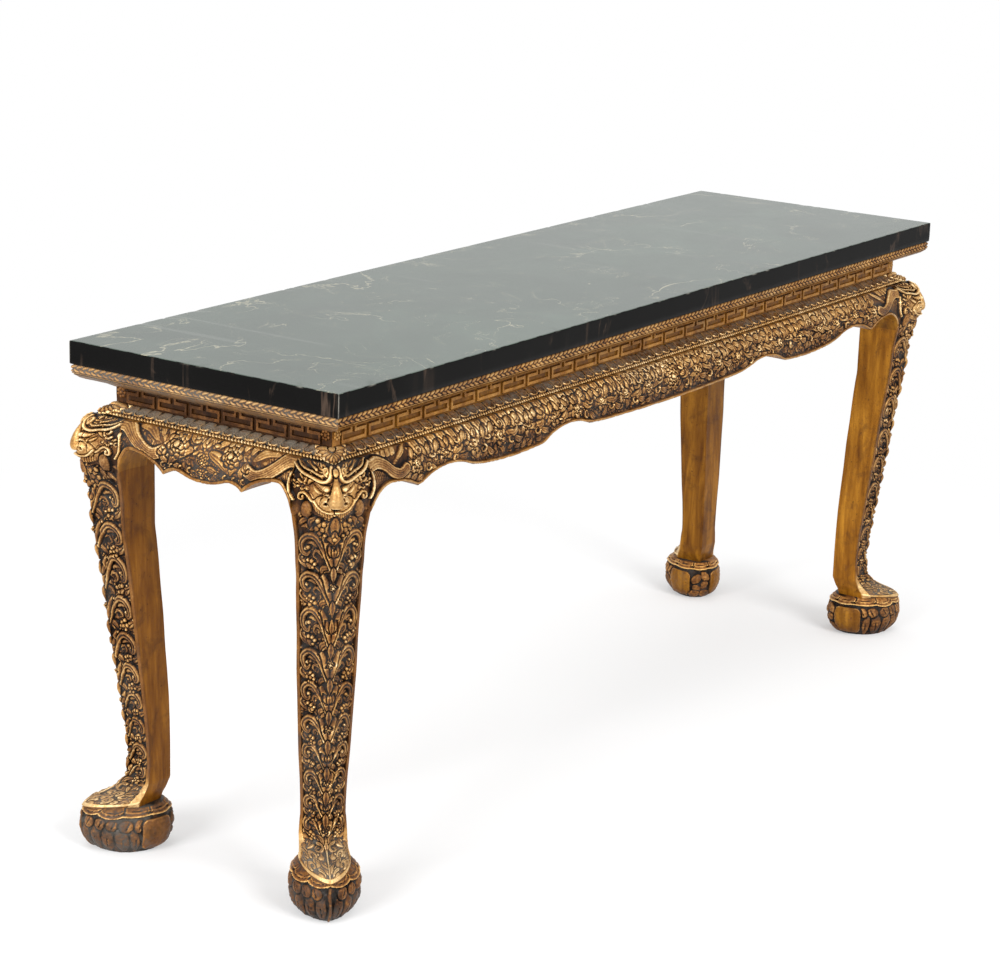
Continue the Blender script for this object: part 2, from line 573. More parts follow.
def front_apron_relief():
    relief = Relief((-876, 644), (876, 743), 0.85)
    fill(relief, (-770, 668), (770, 730), 1500, 8, (10, 17), (1.2, 3.2))
    for pen, knee in zip(both(relief), both(relief, 964)):
        random = np.random.default_rng(40 + pen.flip)
        for x in np.arange(8, 762, 15.5):
            low = float(edge_height("front", x))
            plume(pen, x + random.uniform(-4, 4), low + 8 + random.uniform(0, 6), 18, random.uniform(20, 160), 9, 4.4)
        for number, x in enumerate(np.arange(44, 772, 37.5)):
            x += random.uniform(-4, 4)
            y = 706 + (number % 2) * 7 + random.uniform(-3, 3)
            if number % 2:
                for k in range(7):
                    plume(pen, x, y, random.uniform(20, 27), k * 51 + random.uniform(-16, 16), 10, 5.6)
                flower(pen, x, y, 11, 7.6, 7, 2)
                tendril(pen, x, y, 6, random.uniform(0, 360), 1.3, 3, 8.6)
            else:
                turn = random.uniform(-40, 20)
                plume(pen, x - 14, y + 8, 34, turn, 14, 6.2, random.choice((-0.16, 0.16)))
                plume(pen, x + 4, y + 10, 24, turn + 150, 11, 5.8)
                plume(pen, x - 4, y - 8, 24, turn + 200, 11, 5.4)
                tendril(pen, x + 8, y - 8, 7, random.uniform(0, 360), 1.1, 4, 6.4, 1, 0.4)
        for x in np.arange(12.3, 765, 24.6):
            pen.stroke([(x + 4, 744), (x + 1, 735), (x - 4, 724)], 19, 6.4, "drop", 3, 0.5)
            if random.random() < 0.4:
                tendril(pen, x - 3, 727, 6.4, random.uniform(0, 360), 1, 4.2, 7, 1, 0.4)
            else:
                plume(pen, x - 6, 733, 20, random.uniform(270, 340), 10, 6.8, 0.2)
            plume(pen, x + 12, 734, 19, 250 + random.uniform(-35, 35), 8.5, 5.8)
        for k in range(12):
            tendril(pen, 8 + k * 14, 737 - k % 2 * 2, 6, 180, -0.7, 4.4, 5.6, 1, 0.4)
        hatch(pen, (822, 697), (866, 732))
        for k in range(6):
            lock = [(826 - k * 4, 712 + k * 2.4), (806 - k * 4, 722 + k * 2.4), (788 - k * 3.6, 738 + k)]
            pen.stroke(lock, 7, 5, "leaf", 2, 0.5)
        for k in range(5):
            pen.stroke([(866 - k * 13, 733), (850 - k * 13, 742)], 9, 4.2, "leaf", 3, 0.5)
        for k in range(5):
            plume(pen, 822 - k * 16, 697 - k * 4.6, 22, 165, 11, 5.2, -0.2)
        ribbon(pen, [(876, 727), (858, 729), (838, 722), (820, 709), (802, 703), (786, 708)], 17, 6.4, 5)
        draw_mask(knee)
    plain = Pen(relief, 0, 0)
    for turn in range(0, 360, 45):
        plume(plain, 0, 712, 26, turn, 11, 6)
    flower(plain, 0, 714, 16, 8.4, 9, 3)
    draw_lip(relief, "front", 4.4, 4.8)
    relief.weather((40, 700), 33)
    return relief


# ---------------------------------------------------------------- moulding, fret and foot carving


def shoulder_relief(side):
    """Lappets on the slope and the bead row on its nose; up is the distance down the slope, negated."""
    half = HALF[side] - FRIEZE_IN
    relief = Relief((-half - 24, -30), (half + 24, 1), 0.6)
    pitch = 24.6 if HALF[side] == LONG else 22.7
    random = np.random.default_rng(HALF[side])
    count = int(half / pitch)
    for k in range(-count - 1, count + 2):
        x = k * pitch + random.uniform(-0.6, 0.6)
        relief.stroke([(x + 5, -4.5), (x + 2.4, -9), (x, -14.6)], pitch * 0.84, 4.2, "even", 0, base=0.8, trench=0.12)
        tip = (-0.36, -14), (-0.22, -18.4), (0, -20), (0.24, -18.4), (0.38, -14)
        tip = [(x + pitch * share, y) for share, y in tip]
        relief.stroke(tip, 3.4, 5.6, "even", 0, base=0.5, trench=0.25)
        for dx in (-6, -2, 2, 6):
            relief.stroke([(x + dx + 3.4, -6), (x + dx * 0.8, -16)], 1.3, 3, "leaf", 0, trench=0)
    for k in range(int((half + 20) * 2 / 6.4)):
        x = -half - 20 + k * 6.4
        rise = 5.4 + random.uniform(-0.4, 0.4)
        relief.stroke([(x - 2.2, -21.8), (x + 2.4, -26.6)], 5.2, rise, "drop", 0, base=0.2, trench=0.15)
    return relief


def palmette_relief():
    """The shell over a corner: across is the distance from the mitre, up is the distance down the slope, negated."""
    relief = Relief((-2, -36), (54, 2), 0.6)
    relief.dome(0, -6, 33, 23, 6.4, base=0.8, power=0.6, trench=0.14)
    for turn, reach in ((270, 25), (288, 25), (305, 26), (321, 28), (337, 30), (353, 31)):
        a = math.radians(turn)
        x, y = math.cos(a) * reach, math.sin(a) * reach
        relief.stroke([(0, -2), (x * 0.55, -2 + y * 0.55), (x, -2 + y)], 10.5, 7.6, "drop", 1, 0.3, trench=0.04)
    relief.dome(0, -3, 8, 5, 8)
    return relief


def rim_relief(side):
    """Two rows of slanting leaf tips and a fillet on the nose under the marble."""
    half = HALF[side]
    relief = Relief((-half, 804), (half, 823), 0.6)
    random = np.random.default_rng(3 + HALF[side])
    for k in range(int(half * 2 / 12.4) + 1):
        x = -half + k * 12.4
        for dx, y, slope in ((0, 812.2, -1), (6.2, 817.6, 1)):
            points = [(x + dx - 7, y - slope * 2.4), (x + dx, y + slope * 1.2), (x + dx + 7.4, y + slope * 2.6)]
            relief.stroke(points, 5.4, 2.5 + random.uniform(-0.3, 0.3), "leaf", 1, 0.4, 0.4)
    relief.stroke([(-half, 807.8), (0, 807.8), (half, 807.8)], 2, 2.2, "even", 0)
    return relief


FRET_LINES = (763.3, 776.9, 790.5)  # heights of the fret's three lines


def fret_bars(side):
    """The key fret as bars (from along, to along, from height, to height)."""
    half = HALF[side] - FRIEZE_IN
    period, stems = (72.17, 24) if HALF[side] == LONG else (66.7, 5)
    low, mid, top = FRET_LINES
    gap, thick, rise = 3.3, 2.2, 2.8  # half the gap between turns, half a stem's width, half a bar's height
    bars = []
    for k in range(stems):
        x = (k - (stems - 1) / 2) * period
        left, right = x - period / 2, x + period / 2
        bars += [(x + lean - thick, x + lean + thick, low, mid + rise) for lean in (-5.5, 5.5)]
        bars += [(left + gap, x - gap, mid - rise, mid + rise), (x + gap, right - gap, mid - rise, mid + rise)]
        bars += [(x + gap, right + period / 2 - gap, low - rise, low + rise)] if k < stems - 1 else []
        bars += [(left + gap, left + 7.7, mid, top + rise), (right - 7.7, right - gap, mid, top + rise)]
        bars += [(left + gap, right - gap, top - rise, top + rise)]
    last, edge = (stems - 1) / 2 * period, stems / 2 * period
    outer = edge + 27.9
    for flip in (-1, 1):
        ends = [(last + gap, outer + thick, low - rise, low + rise)]
        ends += [(edge + gap, outer + thick, mid - rise, mid + rise)]
        ends += [(edge + gap, edge + 7.7, mid, top + rise), (outer - thick, outer + thick, low - rise, mid + rise)]
        ends += [(outer + 5, half + 4, low - 3.4, top + rise)]
        bars += [(*sorted((flip * a, flip * b)), c, d) for a, b, c, d in ends]
    return bars


def foot_relief():
    """Paw carving: across is the angle from the toe in degrees, up is the height."""
    relief = Relief((-180, -1), (180, 90), 0.7)
    plain = Pen(relief, 0, 0)
    random = np.random.default_rng(21)
    for side in (-1, 1):
        pen = Pen(relief, 0, 0, 1, 0, side)
        for x, width in ((14, 20), (35, 21), (57, 22), (79, 21), (96, 14)):
            low, lean = random.uniform(3, 8), random.uniform(-3, 3)
            pen.stroke([(x + lean, 42), (x + 1, 24), (x - lean, low)], width, 5.4, "drop", 0, base=0.25, trench=0.1)
            pen.stroke([(x + 2, 30), (x - lean, 12)], 2.4, 4.4, "leaf", 0, trench=0)
            tall, turn = random.uniform(9, 12), random.uniform(-40, 40)
            pen.dome(x + 8 + lean, 52, width * 0.52, tall, 6.4, turn, base=0.15, trench=0.1)
            pen.stroke([(x + 12 + lean, 59), (x + 7 + lean, 46)], 2, 4.8, "leaf", 0, trench=0)
        middle = side * 131  # the bare panel on the foot's side
        place, px, py = relief.window(np.array([middle - 30, 3]), np.array([middle + 30, 66]))
        px, py = np.abs(px - middle) / 25, np.abs(py - 34) / 28
        relief.lay(place, px**5 + py**5, 6.8 - 7 * np.clip(np.maximum(px, py) - 0.7, 0, 1), 0.5)
        pen.dome(170, 50 + side * 3, 14, 9, 6, 34, base=0.25, trench=0.12)
        pen.dome(171, 30 + side * 4, 11, 8.6, 5.2, -34, base=0.25, trench=0.12)
        pen.dome(166, 12, 15, 10, 5.4, 12, base=0.25, trench=0.12)
    plain.stroke([(0, 64), (1.2, 50), (-0.6, 30), (0.6, 3)], 6.4, 5, "even", 0, base=0.2)
    for k in range(10):
        x, y, sag = k * 40 - 180, 69.6, (4.6 if abs(k * 40 - 180) < 100 else 1)
        edge = [(x - 20.5, y), (x - 11.4, y - sag * 0.75), (x, y - sag), (x + 11.4, y - sag * 0.75), (x + 20.5, y)]
        plain.dome(x, 79, 22, 10.4 + sag, 5.8, base=0.82, power=0.3, trench=0.1, merge=True)
        plain.stroke(edge, 2.8, 7, "even", 0, base=0.6, trench=0)
        plain.stroke([(px, py + 5.4) for px, py in edge], 2.4, 6.8, "even", 0, base=0.7, trench=0.2)
    relief.height += slow_noise(relief.height.shape, (26, 90), 34, 0.7)
    return relief


# ---------------------------------------------------------------- meshes


def blurred(h, cells):
    """Box blur, done twice."""
    n = 2 * cells + 1
    for _ in range(2):
        for axis in (0, 1):
            margins = [(cells + 1, cells) if k == axis else (0, 0) for k in (0, 1)]
            total = np.pad(h, margins, "edge").cumsum(axis)
            size = total.shape[axis]
            h = (np.take(total, range(n, size), axis) - np.take(total, range(size - n), axis)) / n
    return h


class Carving:
    """A relief with the map of what stands above and below its surroundings."""

    def __init__(self, relief, reach=1.6):
        near, wide = (blurred(relief.height, max(1, round(r / relief.pixel))) for r in (reach, reach * 4))
        over = relief.height - wide
        self.relief = relief
        self.hollow = Relief(relief.low, relief.low, relief.pixel)
        self.hollow.height = 1.2 * (relief.height - near) + over * np.where(over < 0, 0.6, 0.2)

    def at(self, across, up):
        return self.relief.read(across, up), self.hollow.read(across, up)


def spread(low, high, pitch):
    return np.linspace(low, high, max(2, int(round(abs(high - low) / pitch)) + 1))


def fade(distance, span):
    """From 0 to 1 over a span."""
    return np.clip(distance / span, 0, 1)


def beside(*parts):
    return np.concatenate(parts, 1)


def marked(hollow, behind, **marks):
    """Marks for the carved cells of each ring; a pair's second value is for the plain cells behind."""
    out = {}
    for name, value in {"hollow": (hollow, 0), **marks}.items():
        if isinstance(value, tuple):
            value = beside(np.broadcast_to(value[0], hollow.shape), np.full((len(hollow), behind), float(value[1])))
        out[name] = value
    return out


def solid(name, grid, node, material, marks):
    """One closed piece from rings of points; the rings' ends are capped."""
    rows, ring = grid.shape[:2]
    points = grid.reshape(-1, 3)
    index = np.arange(rows * ring).reshape(rows, ring)
    a, b = index[:-1], index[1:]
    quads = np.stack([a, np.roll(a, -1, 1), np.roll(b, -1, 1), b], -1).reshape(-1, 4)
    caps = [index[0][::-1], index[-1]]
    p = points[quads] - points.mean(0)
    volume = (np.cross(p[:, 1] - p[:, 0], p[:, 2] - p[:, 0]) * p[:, 0]).sum()
    if volume < 0:
        quads, caps = quads[:, ::-1], [cap[::-1] for cap in caps]
    loops = np.concatenate([quads.ravel(), *caps])
    starts = np.append(np.arange(len(quads)) * 4, [len(quads) * 4, len(quads) * 4 + ring])
    mesh = bpy.data.meshes.new(name)
    mesh.vertices.add(len(points))
    mesh.vertices.foreach_set("co", points.astype(np.float32).ravel())
    mesh.loops.add(len(loops))
    mesh.loops.foreach_set("vertex_index", loops.astype(np.int32))
    mesh.polygons.add(len(starts))
    mesh.polygons.foreach_set("loop_start", starts.astype(np.int32))
    # unwrapped: the rings as one sheet, and the two caps as small discs in its margin
    unwrap = mesh.uv_layers.new(name="OFBake")
    row, column = np.divmod(quads, ring)
    wrap = (column.max(1) - column.min(1) > 1)[:, None] & (column == 0)
    uv = np.stack([0.02 + 0.96 * (column + wrap * ring) / ring, 0.02 + 0.96 * row / (rows - 1)], -1).reshape(-1, 2)
    angle = np.arange(ring) / ring * math.tau
    disc = np.stack([0.008 + 0.006 * np.cos(angle), 0.008 + 0.006 * np.sin(angle)], 1)
    unwrap.data.foreach_set("uv", np.vstack([uv, disc, disc + [0.975, 0]]).astype(np.float32).ravel())
    for mark, values in marks.items():
        layer = mesh.attributes.new(mark, "FLOAT", "POINT")
        layer.data.foreach_set("value", np.broadcast_to(values, (rows, ring)).astype(np.float32).ravel())
    mesh.update()
    mesh.validate()
    mesh.shade_smooth()
    mesh.polygons.foreach_set("use_smooth", np.arange(len(starts)) < len(quads))
    mesh.set_sharp_from_angle(angle=math.radians(SHARP))
    mesh.materials.append(material)
    piece = bpy.data.objects.new(name, mesh)
    bpy.context.collection.objects.link(piece)
    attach(piece, "root")
    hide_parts(node)
    return piece


def turned(x, y, z, quarter):
    """Rows of points turned by quarter turns about the vertical, in metres."""
    for _ in range(quarter):
        x, y = -y, x
    return np.stack([x, y, z], -1) / 1000


def corner_points(corner, u, v, z):
    """Points of a leg or foot: u and v lead in from the corner's two edges."""
    quarter = CORNERS[corner]
    half, deep = (LONG, SHORT) if quarter % 2 == 0 else (SHORT, LONG)
    return turned(u - half, v - deep, z, quarter)


def side_solid(part, side, along, inset, z, material, marks, ending="carved"):
    """One side's length of the frame: along it from its middle, in from the slab's edge, and up."""
    grid = turned(along, inset - (LONG + SHORT - HALF[side]), z, TURN[side])
    solid(f"{part}_{side}_{ending}", grid, f"{part}_{side}", material, marks)


def slow_noise(shape, cells, seed, size=1.0):
    """Smooth random values over a grid."""
    random = np.random.default_rng(seed)
    coarse = Relief((0, 0), (cells[1], cells[0]), 1.0)
    coarse.height = random.uniform(-size, size, coarse.height.shape)
    rows, columns = (np.linspace(0, n, count) for n, count in zip(cells, shape))
    return coarse.read(columns[None, :] + np.zeros(shape), rows[:, None] + np.zeros(shape))


SIDE_INSET = [  # how far a toe section's sides fall back, by height
    (742, 0), (132, 0), (120, 1.5), (112, 4), (102, 11), (90, 23), (80, 31), (70, 36),
]


def leg_shell(z, w, width, h):
    """The carved faces' points; w runs across both faces from the ridge between them."""
    outer, inner, back = through(OUTER, z), through(INNER, z), through(SIDE_INSET, z)
    root = np.sqrt(w * w + 10)
    u = outer + (root + w) / 2 + back * np.clip(-w / width, 0, 1)
    v = outer + (root - w) / 2 + back * np.clip(w / width, 0, 1)
    # low down the two faces run together into a round toe
    toe, heel = (FOOT_IN - outer) * math.sqrt(2), (2 * FOOT_IN - outer - back - inner) / math.sqrt(2)
    turn = np.arccos(np.clip(heel / toe, -0.9, 0.9))
    wide = (inner - outer - back) / math.sqrt(2) / np.sin(turn)
    nose, flank = toe * np.cos(turn * w / width), wide * np.sin(turn * w / width)
    rounding = fade(108 - z, 22) * 0.85
    u = u + (FOOT_IN - (nose - flank) / math.sqrt(2) - u) * rounding
    v = v + (FOOT_IN - (nose + flank) / math.sqrt(2) - v) * rounding
    base = np.stack([u, v, z + 0 * w], -1)
    normal = np.cross(np.gradient(base, axis=1), np.gradient(base, axis=0))
    normal /= np.linalg.norm(normal, axis=-1)[..., None] + 1e-9
    normal[..., 2] *= 0.6
    calm = np.where(z > 735, 0.8, 1) * (0.5 + 0.5 * np.clip((z - 80) / 30, 0.15, 1))
    shell = base + normal * (h - GROUND)[..., None] * calm[..., None]
    shell[:, 0, 1], shell[:, -1, 0] = inner[:, 0], inner[:, 0]
    shell[:, (0, -1), 2] = z
    return shell


def leg_pieces(material):
    carving = Carving(leg_relief())
    bands = spread(72, 100, 0.3), spread(100.5, 132, 0.9), spread(133.5, 656, 1.7), spread(657, APRON_TOP, 1.2)
    z = np.concatenate(bands)[:, None]
    rim = np.array([0.0, 0.12, 0.3, 0.62, 0.88, 1.0])[None, :]
    inner = through(INNER, z)
    width = inner - through(OUTER, z)
    reach = width - BORDER
    w = beside(-width + rim * BORDER, spread(-1, 1, 2 / 146)[None, :] * reach, reach + (0.12 + rim * 0.88) * BORDER)
    level = z + 0 * w
    down = run_down(level)
    h, hollow = carving.at(w, down)
    # plain bands beside the carving and along the scalloped lower edge
    climb = fade(z - 645, 26) ** 2 * 9
    low_edge = 73 + 13 * (np.abs(w) / width) ** 1.2
    side_band = fade(np.abs(w) - reach - climb + fade(124 - z, 24) * 6.5, 0.7)
    low_band = fade(run_down(low_edge) + 7.5 - down, 0.9)
    band = np.maximum(side_band, low_band)
    under = fade(low_edge - level, 1.2)
    h = h * (1 - band) + (4.8 + 1.2 * low_band) * band - under * 4
    hollow = hollow * (1 - band) + 0.55 * band - under * 2
    shell = leg_shell(z, w, width, h)
    # the two plain inner faces, from the shell's last column back to its first
    t = spread(0, 1, 1 / 14)[None, 1:]
    start, end, short = shell[:, -1], shell[:, 0], t[:, :-1]
    one = np.stack([inner + 0 * t, start[:, 1:2] * (1 - t) + inner * t, z + 0 * t], -1)
    two = np.stack([inner * (1 - short) + end[:, :1] * short, inner + 0 * short, z + 0 * short], -1)
    plain = beside(one, two)
    wave = slow_noise(plain.shape[:2], (14, 5), 4, 0.5)
    plain[..., 0] += wave * (plain[..., 0] > plain[..., 1])
    plain[..., 1] += wave * (plain[..., 0] <= plain[..., 1])
    ring = beside(shell, plain)
    face = np.exp(-(((np.abs(w) / 70) ** 2 + ((level - 698) / 41) ** 2) ** 2)) * (1 - band)
    gilt_edge = low_band + side_band * fade(140 - level, 30)
    tongue = fade(126 - level, 26) * (1 - band)
    hollow = hollow * (1 - 0.4 * face - 0.3 * tongue)
    bright = gilt_edge * 0.9 + face * 0.72 + tongue * 0.56 - 0.22
    bright = bright - 0.1 * fade(480 - level, 200) * (1 - band) * fade(668 - level, 20)
    dust = 0.3 + 0.2 * fade(170 - level, 60) + 0.6 * tongue + 0.2 * fade(level - 722, 10)
    for corner, light in (("front_left", 0), ("front_right", 0.3), ("back_right", -0.1), ("back_left", -0.2)):
        marks = marked(hollow, plain.shape[1], plain=(band * (0.4 - 0.4 * np.clip(gilt_edge, 0, 1)), 1),
                       bright=(bright, light), dust=(dust, 0))
        grid = corner_points(corner, *np.moveaxis(ring, -1, 0))
        solid(f"leg_{corner}_carved", grid, f"leg_{corner}", material, marks)


def apron_pieces(material):
    reliefs = {LONG: Carving(front_apron_relief()), SHORT: Carving(end_apron_relief())}
    for side in TURN:
        half, long = HALF[side] - LEG_IN, HALF[side] == LONG
        along = spread(-half, half, 1.6 if long else 1.15)[:, None]
        foot = edge_height(side, along)
        level = APRON_TOP + (foot - APRON_TOP) * spread(0, 1, 1 / 62)[None, :]
        inset = through(OUTER, np.clip(level, 680, APRON_TOP))
        near = np.exp(-(half - np.abs(along)) / 40)
        inset = inset + (through(OUTER, np.clip(level, 645, APRON_TOP)) - inset) * near
        h, hollow = reliefs[HALF[side]].at(along + (inset - 6) * near * np.sign(along), level)
        face = inset - (h - GROUND)
        # round the ring: the carved face, the underside, the back and the top
        depth, rise = np.array([[0.04, 0.15, 0.4, 0.7, 1.0]]), np.array([[0.1, 0.3, 0.55, 0.8, 1.0]])
        none = 0 * along
        insets = beside(face, face[:, -1:] * (1 - depth) + BACK_IN * depth, BACK_IN + 0 * rise + none,
                        BACK_IN - np.array([[15, 30.0]]) + none)
        levels = beside(level, level[:, -1:] + 0.8 * np.sin(depth * math.pi),
                        level[:, -1:] * (1 - rise) + APRON_TOP * rise, APRON_TOP + np.zeros((1, 2)) + none)
        lip = fade(foot + 6 - level, 1.5)
        high = 0.2 * np.clip((level - 708) / 16, -1, 1) + (0 if long else 0.08)
        marks = marked(hollow, 12, plain=(0.45 * lip, 1), bright=(high * (1 - lip) - 0.2 * lip, 0),
                       dust=(0.2 if long else 0.45, 0))
        side_solid("apron", side, along + 0 * insets, insets, levels, material, marks)


def mitred(side, along, inset):
    """Positions along a side, drawn in near its ends so that each ring meets its neighbour on the diagonal."""
    half, start = HALF[side], HALF[side] - 110
    share = fade(np.abs(along) - start, np.abs(along).max() - start)
    return np.where(np.abs(along) > start, np.sign(along) * (start + share * (half - inset - start)), along + 0 * inset)


def closed(inset, level, behind):
    """A profile with the uncarved points (inset, level) that close it."""
    return (beside(a, np.zeros((len(a), 1)) + b) for a, b in zip((inset, level), np.array(behind, float).T))


def shoulder_pieces(material):
    corner = Carving(palmette_relief())
    for side in TURN:
        carving = Carving(shoulder_relief(side))
        half = HALF[side] - 33
        along = spread(-half, half, 1.25)[:, None]
        down = beside(spread(0, 22, 0.95)[None, :], spread(22.6, 28.4, 0.72)[None, :])
        slope = fade(down, 23.7)
        inset = FRIEZE_IN - 21 * slope - 1.2 * np.sin(slope * math.pi)
        level = SLOPE_TOP - 11 * slope - np.clip(down - 23.7, 0, 4.2)
        lean = np.where(down < 23, 0.46, 1.0)
        true = mitred(side, along, inset)
        h, hollow = carving.at(true, -down + 0 * true)
        shell, shell_hollow = corner.at(HALF[side] - inset - np.abs(true), -down + 0 * true)
        over = shell > 0.6
        h, hollow = np.where(over, shell, h) - 2.6, np.where(over, shell_hollow, hollow)
        inset, level = closed(inset - h * lean, level + h * np.sqrt(1 - lean**2), [
            (45, APRON_TOP), (60, APRON_TOP), (BACK_IN, APRON_TOP), (BACK_IN, 746), (BACK_IN, 751),
            (BACK_IN, SLOPE_TOP), (62, SLOPE_TOP)])
        low = fade(down - 15.5, 2)
        grey = (1 - low) * np.where(over, 0.4, 1.0) * (0.5 if HALF[side] == LONG else 1.0)
        patchy = 1 + slow_noise(h.shape, (len(along) // 4, 8), 14, 0.5)
        marks = marked(hollow, 7, plain=(0, 1), bright=(low * 0.06 + 0.3 * over - 0.05, 0),
                       dust=(0.2 + 1.6 * grey * patchy, 0))
        side_solid("shoulder", side, mitred(side, along, inset), inset, level, material, marks)


def rim_pieces(material):
    for side in TURN:
        half = HALF[side] - 1.5
        along = spread(-half, half, 1.4)[:, None]
        nose = spread(821.6, 806.4, 0.85)[None, :]
        inset, level = closed(1.5 + 1.8 * np.abs((nose - 814) / 8) ** 3, nose, [
            (4.2, 805.2), (7.5, 803), (12, 799.6), (19, 796.6), (27, 794.4), (35, 792), (43, 788.4), (50, 784.6),
            (FRIEZE_IN, 783), (FRIEZE_IN, 800), (FRIEZE_IN, SLAB_LOW), (30, SLAB_LOW)])
        level = level + 0 * along
        n = nose.shape[1]
        true = mitred(side, along, inset)
        h, hollow = Carving(rim_relief(side)).at(true[:, :n], level[:, :n])
        inset = inset + 0 * true
        inset[:, :n] -= h - 2.4
        inset[:, n : n + 9] += slow_noise((len(along), 9), (60, 3), 5, 0.35)
        marks = marked(hollow, 12, plain=(0, 0.5), bright=0.1, dust=0.1 if HALF[side] == LONG else 1.0)
        marks["hollow"][:, n:] = -0.2  # the uncarved cove is a little darker
        side_solid("rim_moulding", side, mitred(side, along, inset), inset, level, material, marks)


def frieze_pieces(material):
    for side in TURN:
        half, long = HALF[side] - 50, HALF[side] == LONG
        bars = np.array(fret_bars(side))
        walls, shelves = np.unique(bars[:, :2].round(2)), np.unique(bars[:, 2:].round(2))
        ends = spread(half - 18, half, 1.2)
        along = np.concatenate([walls - 0.3, walls + 0.3, spread(-half, half, 2.2), ends, -ends])
        along = np.unique(along.clip(-half, half).round(2))
        along = along[np.append(True, np.diff(along) > 0.25)][:, None]
        rows = spread(SLOPE_TOP, SLAB_LOW, 2.2), spread(767, 787, 1.3)
        level = np.concatenate([shelves - 0.35, shelves + 0.35, *rows])
        level = np.unique(level.clip(SLOPE_TOP, SLAB_LOW).round(2))
        level = level[np.append(True, np.diff(level) > 0.3)][None, ::-1]
        h = np.zeros((len(along), level.shape[1]))
        for a, b, low, high in bars:
            h = np.maximum(h, 3.2 * ((along > a) & (along < b) & (level > low) & (level < high)))
        grain = slow_noise(h.shape, (int(half / 5), 10), 9, 0.35)
        # a rosette on each corner block
        reach = HALF[side] - FRIEZE_IN - np.abs(along)
        h = np.where((reach < 18) & (h > 0), 2.2, h)
        for k in range(8):
            x = 9.5 + (6.6 * math.cos(k * math.tau / 7) if k else 0)
            y = 777 + (6.6 * math.sin(k * math.tau / 7) if k else 0)
            round_off = 1 - ((reach - x) ** 2 + (level - y) ** 2) / (8.4 if k else 12)
            h = np.maximum(h, (2.6 + 2.4 * np.sqrt(np.clip(round_off, 0, 1))) * (round_off > 0))
        inset, heights = closed(FRIEZE_IN + 0.6 - h - grain, level + 0 * h, [
            (62, SLOPE_TOP), (70, SLOPE_TOP), (BACK_IN, SLOPE_TOP), (BACK_IN, 770), (BACK_IN, 785), (BACK_IN, 800),
            (BACK_IN, SLAB_LOW), (65, SLAB_LOW)])
        a = mitred(side, along, inset)
        a = a + slow_noise(inset.shape, (int(half / 4), 8), 12, 0.45) * (np.abs(a) < HALF[side] - 80)
        marks = marked((h / 3.2 - 0.62) * 2 - 0.5, 8, plain=(0.4 if long else 0.15, 1),
                       bright=0.3 if long else -0.3, dust=0.05)
        side_solid("frieze", side, a, inset, heights, material, marks, "fret")


def foot_pieces(material):
    carving = Carving(foot_relief(), 2.4)
    z = np.concatenate([[0, 0.6], spread(1.8, 78, 1.15), [79, 80]])[:, None]
    angle = np.linspace(-180, 180, 300, endpoint=False)[None, :]
    h, hollow = carving.at(angle + 0 * z, z + 0 * angle)
    a, side = np.radians(angle), np.abs(angle)
    swell = np.sqrt(1 - ((np.clip(z, 0, 80) - 42) / 62) ** 2) * np.where(z < 0.5, 0.985, 1)
    toe = 1 + 0.075 * np.exp(-side / 12)
    for turn, spread_out, lobe in ((42, 20, -0.03), (84, 18, 0.03)):
        toe = toe + lobe * np.exp(-(((side - turn) / spread_out) ** 2))
    full = 1 + 0.03 * fade(z - 56, 8) * fade(76 - z, 8)
    out = h - GROUND - fade(z - 68, 12) ** 1.5 * 7 * fade(100 - side, 30)
    x = (75 * swell * toe * full + out) * np.cos(a)
    y = (56 * swell * toe * full + out) * np.sin(a)
    diagonal = math.sqrt(0.5)
    u, v = FOOT_IN - diagonal * (x + y), FOOT_IN - diagonal * (x - y)
    panel = np.clip((1 - (np.abs(side - 131) / 24.5) ** 5 - (np.abs(z - 34) / 27.5) ** 5) * 6, 0, 1)
    panel = panel * (0.9 - 0.5 * fade(24 - z, 20))
    collar = fade(z - 65.5, 2)
    bright = collar * 0.18 - (1 - collar) * (0.14 + 0.26 * fade(34 - z, 34) + 0.25 * np.exp(-side / 5))
    care = {"front_left": (-0.12, 0.5), "front_right": (0.2, 0.3), "back_right": (0.2, 0.3), "back_left": (-0.06, 0.8)}
    for corner, (clean, dusty) in care.items():
        marks = {"hollow": hollow * 0.9, "plain": panel * (1 if clean > 0 else 0.45), "bright": clean + bright,
                 "dust": dusty}
        grid = corner_points(corner, u, v, z + 0 * u)
        solid(f"paw_foot_{corner}_carved", grid, f"paw_foot_{corner}", material, marks)


